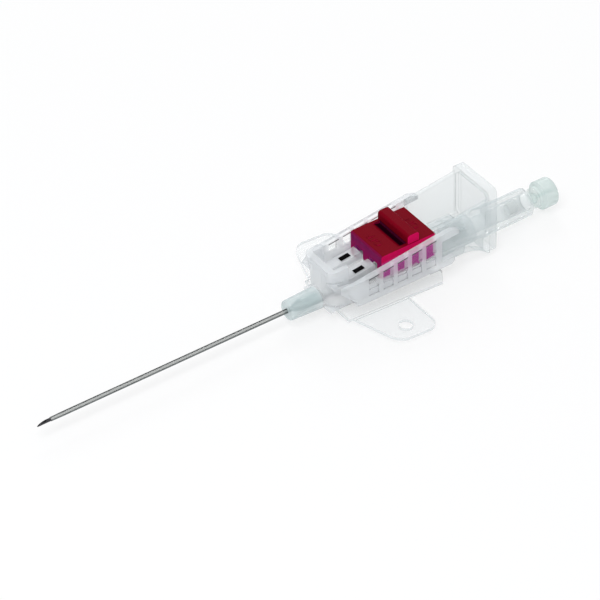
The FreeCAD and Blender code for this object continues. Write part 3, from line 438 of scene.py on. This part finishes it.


# Mask along edges, used for the painted edge shade and the edge density of clear plastics
def make_edge_lines():
    """1 along the piece's edges and corners, within a radius of them, and 0 on its faces."""
    group, start, end = new_group(
        "edge_lines", [("Radius", "NodeSocketFloat", 0.1 * MM)], [("Edge", "NodeSocketFloat")]
    )
    nodes, links = group.nodes, group.links
    rounded = nodes.new("ShaderNodeBevel")
    rounded.samples = 8
    flat = nodes.new("ShaderNodeNewGeometry")
    compare = nodes.new("ShaderNodeVectorMath")
    compare.operation = "DOT_PRODUCT"
    links.new(start.outputs["Radius"], rounded.inputs["Radius"])
    links.new(rounded.outputs["Normal"], compare.inputs[0])
    links.new(flat.outputs["Normal"], compare.inputs[1])
    edge = ramp(nodes, links, compare.outputs["Value"], 0.99, 0.80)
    links.new(edge, end.inputs["Edge"])


def clear_plastic(
    name, colour, alpha, edge_alpha, transmission, roughness, line=0.07 * MM, shade=0.0
):
    """Clear plastic that looks denser where it is seen edge on, as glass does.

    A line width paints shade along its edges, and a shade distance paints shade into its inner corners.
    """
    material, nodes, links, shader = new_material(name)
    shader.inputs["Transmission Weight"].default_value = transmission
    shader.inputs["IOR"].default_value = CLEAR_IOR
    shader.inputs["Base Color"].default_value = (*colour, 1)
    tone = colour
    if line:
        edge = place_group(nodes, "edge_lines", Radius=line).outputs["Edge"]
        # Painted shade: the plastic's colour is darkened along its edges
        tone = blend(nodes, links, edge, colour, darker(colour, 0.3))
    if shade:
        # Painted shade in inner corners and recesses, from how near other surfaces are
        nearness = nodes.new("ShaderNodeAmbientOcclusion")
        nearness.samples = 8
        nearness.inputs["Distance"].default_value = shade
        openness = ramp(nodes, links, nearness.outputs["AO"], 0.35, 0.95)
        tone = blend(nodes, links, openness, darker(colour, 0.55), tone)
    if line or shade:
        links.new(tone, shader.inputs["Base Color"])
    density = facing_edge(nodes, links, 0.45, 0.95, alpha, edge_alpha)
    if line:
        drawn = number(nodes, links, "MULTIPLY", edge, edge_alpha)
        density = number(nodes, links, "MAXIMUM", density, drawn)
    links.new(density, shader.inputs["Alpha"])
    add_surface(
        nodes, links, shader, roughness, spread=roughness * 0.6,
        grain_scale=3000, flow_scale=250, relief=0.002 * MM,
    )
    return material


def all_of(nodes, links, tests):
    """Multiply several tests, so that the result is 1 only where each one is 1."""
    result = tests[0]
    for test in tests[1:]:
        result = number(nodes, links, "MULTIPLY", result, test)
    return result


def vary_the_walls(material, wall_alpha, nozzle_alpha, head_shadow_alpha, pane_alpha):
    """Make the hub denser in its ribbed walls, clear in the panes, and greener in the nozzle.

    A thin painted shadow runs along the head of each window, under the rail above it.
    """
    nodes, links = material.node_tree.nodes, material.node_tree.links
    shader = nodes["Principled BSDF"]
    x, y, z = object_place(nodes, links)
    in_wall = number(nodes, links, "GREATER_THAN", number(nodes, links, "ABSOLUTE", y), PANE_INNER)
    from_first = number(nodes, links, "SUBTRACT", x, WINDOW_FIRST)
    steps = number(nodes, links, "DIVIDE", from_first, WINDOW_PITCH)
    part_step = number(nodes, links, "FRACT", steps)
    along_window = [
        number(nodes, links, "LESS_THAN", part_step, WINDOW_LENGTH / WINDOW_PITCH),
        number(nodes, links, "GREATER_THAN", steps, 0.0),
        number(nodes, links, "LESS_THAN", steps, float(WINDOW_COUNT)),
        in_wall,
    ]
    slanted = number(nodes, links, "MULTIPLY_ADD", x, -TRACK_SLOPE, z)
    inside = all_of(nodes, links, along_window + [
        number(nodes, links, "GREATER_THAN", z, WINDOW_SILL),
        number(nodes, links, "LESS_THAN", slanted, WINDOW_HEAD),
    ])
    # A band along each window's head that takes a painted shadow, dark and dense
    past_head = number(nodes, links, "SUBTRACT", slanted, WINDOW_HEAD + HEAD_SHADOW / 2)
    near_head = number(nodes, links, "ABSOLUTE", past_head)
    head_shadow = all_of(nodes, links, [
        number(nodes, links, "LESS_THAN", near_head, HEAD_SHADOW / 2), *along_window,
    ])
    tone = shader.inputs["Base Color"].links[0].from_socket
    behind_nozzle = ramp(nodes, links, x, NOZZLE_END - NOZZLE_FADE, NOZZLE_END)
    tone = blend(nodes, links, behind_nozzle, colours().nozzle, tone)
    # Painted shadow along the window heads
    tone = blend(nodes, links, head_shadow, tone, darker(colours().hub, 0.15))
    links.new(tone, shader.inputs["Base Color"])
    density = shader.inputs["Alpha"].links[0].from_socket
    for least in (
        number(nodes, links, "MULTIPLY", in_wall, wall_alpha),
        ramp(nodes, links, x, NOZZLE_END, NOZZLE_END - NOZZLE_FADE, 0.0, nozzle_alpha),
        number(nodes, links, "MULTIPLY", head_shadow, head_shadow_alpha),
    ):
        density = number(nodes, links, "MAXIMUM", density, least)
    links.new(blend_number(nodes, links, inside, density, pane_alpha), shader.inputs["Alpha"])


def ground_steel():
    """Steel of the needle and ferrule, with painted shade on its lower side, and darker at its bare ground
    tip.
    """
    material, nodes, links, shader = new_material("ground_steel")
    along = object_place(nodes, links)[0]
    behind_tip = ramp(nodes, links, along, BARE_TIP - TIP_FADE / 2, BARE_TIP + TIP_FADE / 2)
    # Painted shade: the steel is darker where its surface faces down
    upwards = ramp(nodes, links, object_place(nodes, links, "Normal")[2], -0.4, 0.55)
    underside_shaded = blend(nodes, links, upwards, colours().steel_underside_shade, colours().steel)
    tone = blend(nodes, links, behind_tip, colours().steel_tip, underside_shaded)
    links.new(tone, shader.inputs["Base Color"])
    shader.inputs["Metallic"].default_value = 1
    add_surface(
        nodes, links, shader, 0.24, spread=0.12, grain_scale=6000, flow_scale=900, relief=0.0004 * MM
    )
    return material


def catheter_plastic():
    """Clear tube over the needle: see-through along its middle, and dense along its two outlines, which carry
    painted shade, near black on the upper side and grey on the lower.
    """
    material, nodes, links, shader = new_material("catheter_clear")
    shader.inputs["IOR"].default_value = CLEAR_IOR
    c = colours()
    # Painted shade by which way the surface faces: dark where it faces up, grey where it faces down, a little
    # lighter along the crown
    upwards = object_place(nodes, links, "Normal")[2]
    tone = blend(nodes, links, ramp(nodes, links, upwards, -0.7, 0.7), c.catheter_underside_shade, c.catheter_top_shade)
    tone = blend(nodes, links, ramp(nodes, links, upwards, 0.93, 0.995), tone, c.catheter_crown_shade)
    links.new(tone, shader.inputs["Base Color"])
    links.new(facing_edge(nodes, links, 0.12, 0.5, 0.08, 0.92), shader.inputs["Alpha"])
    add_surface(
        nodes, links, shader, 0.12, spread=0.08, grain_scale=3000, flow_scale=250, relief=0.0004 * MM
    )
    return material


def fade_the_insert(material, insert_share):
    """Make the vent plug clearer where it sits inside the flash chamber."""
    nodes, links = material.node_tree.nodes, material.node_tree.links
    shader = nodes["Principled BSDF"]
    density = shader.inputs["Alpha"].links[0].from_socket
    along = object_place(nodes, links)[0]
    outside = ramp(nodes, links, along, PLUG_CAP - PLUG_FADE, PLUG_CAP, insert_share, 1.0)
    links.new(number(nodes, links, "MULTIPLY", density, outside), shader.inputs["Alpha"])


def thicken_the_rim(material, rim_alpha):
    """Make a thin plate denser where its upright edges are seen through its whole width."""
    nodes, links = material.node_tree.nodes, material.node_tree.links
    shader = nodes["Principled BSDF"]
    density = shader.inputs["Alpha"].links[0].from_socket
    toward_z = object_place(nodes, links, "Normal")[2]
    upright = ramp(nodes, links, number(nodes, links, "ABSOLUTE", toward_z), 0.9, 0.6)
    links.new(blend_number(nodes, links, upright, density, rim_alpha), shader.inputs["Alpha"])


def red_plastic():
    """Translucent red: deep on top, with painted light on its sides, pink above and mauve lower down, painted
    shade on its front face, and a painted shadow in the hollow before the fin.
    """
    material, nodes, links, shader = new_material("switch_red")
    x, y, z = object_place(nodes, links)
    toward_x, toward_y, _ = object_place(nodes, links, "Normal")
    c = colours()
    cloud = nodes.new("ShaderNodeTexNoise")
    cloud.inputs["Scale"].default_value = 700
    cloud.inputs["Detail"].default_value = 3
    cloudy = ramp(nodes, links, cloud.outputs["Fac"], 0.35, 0.65)
    tone = blend(nodes, links, cloudy, c.switch, c.switch_dark)
    # Painted light on the sides, as if lit from beside the switch, pink above and mauve lower down
    side = blend(nodes, links, ramp(nodes, links, z, *SKIRT_BAND), c.switch_skirt_light, c.switch_side_light)
    sideways = ramp(nodes, links, number(nodes, links, "ABSOLUTE", toward_y), 0.5, 0.9)
    tone = blend(nodes, links, sideways, tone, side)
    # Painted shade on the faces that look towards the tip
    front = blend(nodes, links, ramp(nodes, links, z, *FRONT_BAND), c.switch_front_foot_shade, c.switch_front_shade)
    forwards = all_of(nodes, links, [
        ramp(nodes, links, toward_x, -0.5, -0.9), ramp(nodes, links, z, *TOP_BAND),
    ])
    tone = blend(nodes, links, forwards, tone, front)
    # Painted shadow in the hollow before the fin
    from_middle = number(nodes, links, "SUBTRACT", x, HOLLOW_MIDDLE)
    in_hollow = all_of(nodes, links, [
        ramp(nodes, links, number(nodes, links, "ABSOLUTE", from_middle), *HOLLOW_LENGTH_BAND),
        ramp(nodes, links, z, *HOLLOW_HEIGHT_BAND),
        ramp(nodes, links, number(nodes, links, "ABSOLUTE", y), *HOLLOW_WIDTH_BAND),
    ])
    tone = blend(nodes, links, in_hollow, tone, c.switch_hollow_shadow)
    links.new(tone, shader.inputs["Base Color"])
    shader.inputs["IOR"].default_value = DULL_IOR
    add_surface(
        nodes, links, shader, 0.4, spread=0.15, grain_scale=4000, flow_scale=400, relief=0.004 * MM
    )
    return material


def plain_plastic(name, colour, roughness):
    """Opaque moulded plastic with a fine grain."""
    material, nodes, links, shader = new_material(name)
    shader.inputs["Base Color"].default_value = (*colour, 1)
    shader.inputs["IOR"].default_value = DULL_IOR
    add_surface(
        nodes, links, shader, roughness, spread=0.1, grain_scale=5000, flow_scale=500,
        relief=0.004 * MM,
    )
    return material


# Pieces

class CANNULA_OT_catheter(bpy.types.Operator):
    """Clear catheter and its steel ferrule"""

    bl_idname = "cannula.catheter"
    bl_label = "Catheter"

    def execute(self, context):
        tube = moulded_copy("catheter_tube", "catheter_sleeve")
        dress(tube, catheter_plastic())
        stand_in(tube, "catheter_tube")
        ferrule = moulded_copy("catheter_ferrule", "steel_ferrule")
        dress(ferrule, ground_steel())
        stand_in(ferrule, "catheter_ferrule")
        return {"FINISHED"}


class CANNULA_OT_hub(bpy.types.Operator):
    """Hub with its nozzle, block, panelled walls and deck"""

    bl_idname = "cannula.hub"
    bl_label = "Hub"

    def execute(self, context):
        hub = moulded_copy("cannula_hub", "hub_shell")
        plastic = clear_plastic(
            "hub_frosted", colours().hub, alpha=0.38, edge_alpha=0.8, transmission=0.2, roughness=0.15,
            line=0, shade=0.45 * MM,
        )
        vary_the_walls(plastic, wall_alpha=0.5, nozzle_alpha=0.6, head_shadow_alpha=0.85, pane_alpha=0.04)
        dress(hub, plastic)
        stand_in(hub, "cannula_hub")
        black = plain_plastic("black_ink", colours().mark, roughness=0.5)
        for side in ("left", "right"):
            mark = moulded_copy(f"index_mark_{side}", f"black_mark_{side}", sizes().small_edge)
            dress(mark, black)
            stand_in(mark, f"index_mark_{side}")
        return {"FINISHED"}


class CANNULA_OT_valve(bpy.types.Operator):
    """Soft valve tube inside the deck"""

    bl_idname = "cannula.valve"
    bl_label = "Valve tube"

    def execute(self, context):
        tube = moulded_copy("valve_tube", "silicone_tube")
        milky = clear_plastic(
            "silicone_milky", (0.85, 0.87, 0.87), alpha=0.6, edge_alpha=0.9, transmission=0.3, roughness=0.35
        )
        dress(tube, milky)
        stand_in(tube, "valve_tube")
        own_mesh(tube)
        return {"FINISHED"}


class CANNULA_OT_socket(bpy.types.Operator):
    """Female luer socket behind the deck"""

    bl_idname = "cannula.socket"
    bl_label = "Luer socket"

    def execute(self, context):
        socket = moulded_copy("luer_socket", "socket_barrel")
        clear = clear_plastic(
            "socket_clear", colours().grip, alpha=0.3, edge_alpha=0.85, transmission=0.3, roughness=0.1
        )
        dress(socket, clear)
        stand_in(socket, "luer_socket")
        return {"FINISHED"}


class CANNULA_OT_switch(bpy.types.Operator):
    """Red slide switch"""

    bl_idname = "cannula.switch"
    bl_label = "Slide switch"

    def execute(self, context):
        edge = sizes().switch_edge
        switch = moulded_copy("slide_switch", "red_switch", edge, segments=3, degrees=12)
        red = red_plastic()
        dress(switch, red)
        stand_in(switch, "slide_switch")
        for word, place in WORDS:
            letters = raised_word(word, place)
            dress(letters, red)
            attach(letters, "switch")
        return {"FINISHED"}


class CANNULA_OT_wings(bpy.types.Operator):
    """Thin clear plate with its two wings"""

    bl_idname = "cannula.wings"
    bl_label = "Wing plate"

    def execute(self, context):
        wings = moulded_copy("wing_plate", "clear_wings")
        plastic = clear_plastic(
            "wing_clear", colours().wing, alpha=0.12, edge_alpha=0.6, transmission=0.2, roughness=0.1
        )
        thicken_the_rim(plastic, rim_alpha=0.5)
        dress(wings, plastic)
        stand_in(wings, "wing_plate")
        return {"FINISHED"}


class CANNULA_OT_needle(bpy.types.Operator):
    """Steel needle and the adhesive that holds it"""

    bl_idname = "cannula.needle"
    bl_label = "Needle"

    def execute(self, context):
        needle = moulded_copy("needle", "steel_needle")
        dress(needle, ground_steel())
        stand_in(needle, "needle")
        bond = moulded_copy("needle_bond", "adhesive_cone")
        cured = clear_plastic(
            "adhesive_clear", (0.85, 0.87, 0.85), alpha=0.5, edge_alpha=0.9, transmission=0.3, roughness=0.15
        )
        dress(bond, cured)
        stand_in(bond, "needle_bond")
        return {"FINISHED"}


class CANNULA_OT_grip(bpy.types.Operator):
    """Needle grip with its flange, luer and flash chamber"""

    bl_idname = "cannula.grip"
    bl_label = "Needle grip"

    def execute(self, context):
        grip = moulded_copy("needle_grip", "clear_grip")
        clear = clear_plastic(
            "grip_clear", colours().grip, alpha=0.25, edge_alpha=0.9, transmission=0.2, roughness=0.05,
            line=0.13 * MM,
        )
        dress(grip, clear)
        stand_in(grip, "needle_grip")
        return {"FINISHED"}


class CANNULA_OT_plug(bpy.types.Operator):
    """Vent plug and its porous filter"""

    bl_idname = "cannula.plug"
    bl_label = "Vent plug"

    def execute(self, context):
        plug = moulded_copy("vent_plug", "plug_cap")
        plastic = clear_plastic(
            "plug_green", colours().plug, alpha=0.62, edge_alpha=0.92, transmission=0.2, roughness=0.1, line=0
        )
        fade_the_insert(plastic, insert_share=0.12)
        dress(plug, plastic)
        stand_in(plug, "vent_plug")
        disc = moulded_copy("vent_filter", "filter_disc", sizes().small_edge)
        dress(disc, plain_plastic("filter_white", (0.95, 0.95, 0.94), roughness=0.8))
        stand_in(disc, "vent_filter")
        return {"FINISHED"}


# Stage

def photo_camera():
    """Stand the camera where the photograph was taken, aimed at the middle of its frame."""
    turn, tilt = VIEW_AZIMUTH, VIEW_ELEVATION
    level_right = Vector((math.cos(turn), -math.sin(turn), 0))
    ahead = Vector((math.sin(turn), math.cos(turn), 0))
    level_down = -ahead * math.sin(tilt) - Vector((0, 0, math.cos(tilt)))
    forward = ahead * math.cos(tilt) - Vector((0, 0, math.sin(tilt)))
    right = level_right * math.cos(VIEW_ROLL) + level_down * math.sin(VIEW_ROLL)
    down = level_down * math.cos(VIEW_ROLL) - level_right * math.sin(VIEW_ROLL)
    eye = VIEW_TARGET - forward * VIEW_DISTANCE
    middle = PHOTO_PIXELS / 2
    across, below = middle - VIEW_TARGET_PIXEL[0], middle - VIEW_TARGET_PIXEL[1]
    aim = (forward * VIEW_FOCAL_PIXELS + right * across + down * below).normalized()
    right = (right - aim * right.dot(aim)).normalized()
    up = right.cross(aim)
    data = bpy.data.cameras.new("photo_camera")
    data.sensor_width = SENSOR_WIDTH
    data.lens = VIEW_FOCAL_PIXELS / PHOTO_PIXELS * SENSOR_WIDTH
    data.clip_start = 0.01
    data.clip_end = 20
    camera = bpy.data.objects.new("photo_camera", data)
    bpy.context.scene.collection.objects.link(camera)
    rotation = Matrix((right, up, -aim)).transposed().to_4x4()
    camera.matrix_world = Matrix.Translation(eye) @ rotation
    bpy.context.scene.camera = camera


def seen_ray(nodes, links):
    """1 for what the camera sees, straight or in metal and clear plastic, and 0 for other light."""
    path = nodes.new("ShaderNodeLightPath")
    direct = number(nodes, links, "MAXIMUM", path.outputs["Is Camera Ray"], path.outputs["Is Glossy Ray"])
    return number(nodes, links, "MAXIMUM", direct, path.outputs["Is Transmission Ray"])


def white_world():
    """Even light, with a plain white behind everything that the camera sees or looks through."""
    world = bpy.data.worlds.new("studio")
    bpy.context.scene.world = world
    world.use_nodes = True
    nodes, links = world.node_tree.nodes, world.node_tree.links
    light = nodes["Background"]
    light.inputs["Color"].default_value = (0.97, 0.98, 1.0, 1)
    light.inputs["Strength"].default_value = WORLD_LIGHT
    shown = nodes.new("ShaderNodeBackground")
    shown.inputs["Color"].default_value = (1, 1, 1, 1)
    mix = nodes.new("ShaderNodeMixShader")
    links.new(seen_ray(nodes, links), mix.inputs["Fac"])
    links.new(light.outputs[0], mix.inputs[1])
    links.new(shown.outputs[0], mix.inputs[2])
    links.new(mix.outputs[0], nodes["World Output"].inputs["Surface"])


def soft_lamp(name, place, width, energy):
    data = bpy.data.lights.new(name, "AREA")
    data.shape = "DISK"
    data.size = width
    data.energy = energy
    lamp = bpy.data.objects.new(name, data)
    bpy.context.scene.collection.objects.link(lamp)
    lamp.location = place
    lamp.rotation_euler = (VIEW_TARGET - Vector(place)).to_track_quat("-Z", "Y").to_euler()


def pale_floor():
    low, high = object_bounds()
    deselect_all()
    bpy.ops.mesh.primitive_plane_add(size=3, location=(VIEW_TARGET.x, 0, low[2]))
    floor = bpy.context.view_layer.objects.active
    floor.name = "pale_floor"
    material, nodes, links, shader = new_material("pale_floor")
    shader.inputs["Base Color"].default_value = (*colours().floor, 1)
    shader.inputs["Roughness"].default_value = 0.9
    white = nodes.new("ShaderNodeEmission")
    mix = nodes.new("ShaderNodeMixShader")
    share = number(nodes, links, "MULTIPLY", seen_ray(nodes, links), FLOOR_WHITE)
    links.new(share, mix.inputs["Fac"])
    links.new(shader.outputs[0], mix.inputs[1])
    links.new(white.outputs[0], mix.inputs[2])
    links.new(mix.outputs[0], nodes["Material Output"].inputs["Surface"])
    floor.data.materials.append(material)
    floor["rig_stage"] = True


class CANNULA_OT_stage(bpy.types.Operator):
    """Camera, lamps, world and floor"""

    bl_idname = "cannula.stage"
    bl_label = "Stage"

    def execute(self, context):
        context.scene.view_settings.view_transform = "Standard"
        photo_camera()
        white_world()
        soft_lamp("key_lamp", (-0.25, -0.2, 0.6), width=0.4, energy=2.2)
        soft_lamp("back_lamp", (0.3, 0.45, 0.35), width=0.3, energy=0.8)
        pale_floor()
        return {"FINISHED"}


PIECES = (
    CANNULA_OT_catheter, CANNULA_OT_hub, CANNULA_OT_valve, CANNULA_OT_socket, CANNULA_OT_switch,
    CANNULA_OT_wings, CANNULA_OT_needle, CANNULA_OT_grip, CANNULA_OT_plug, CANNULA_OT_stage,
)


class CANNULA_PT_panel(bpy.types.Panel):
    """Sidebar panel with the cannula's sizes, colours and pieces"""

    bl_label = "Arterial cannula"
    bl_space_type = "VIEW_3D"
    bl_region_type = "UI"
    bl_category = "Cannula"

    def draw(self, context):
        for group in (context.scene.cannula_sizes, context.scene.cannula_colours):
            column = self.layout.column()
            for key in group.bl_rna.properties.keys():
                if key not in ("rna_type", "name"):
                    column.prop(group, key)
        for piece in PIECES:
            self.layout.operator(piece.bl_idname)


CLASSES = (CannulaSizes, CannulaColours, *PIECES, CANNULA_PT_panel)


def register():
    for item in CLASSES:
        bpy.utils.register_class(item)
    bpy.types.Scene.cannula_sizes = PointerProperty(type=CannulaSizes)
    bpy.types.Scene.cannula_colours = PointerProperty(type=CannulaColours)


def unregister():
    del bpy.types.Scene.cannula_colours
    del bpy.types.Scene.cannula_sizes
    for item in reversed(CLASSES):
        bpy.utils.unregister_class(item)


def main():
    register()
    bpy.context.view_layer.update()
    make_moulded_surface()
    make_edge_lines()
    bpy.ops.cannula.stage()
    bpy.ops.cannula.catheter()
    bpy.ops.cannula.hub()
    bpy.ops.cannula.valve()
    bpy.ops.cannula.socket()
    bpy.ops.cannula.switch()
    bpy.ops.cannula.wings()
    bpy.ops.cannula.needle()
    bpy.ops.cannula.grip()
    bpy.ops.cannula.plug()


if __name__ == "__main__":
    main()
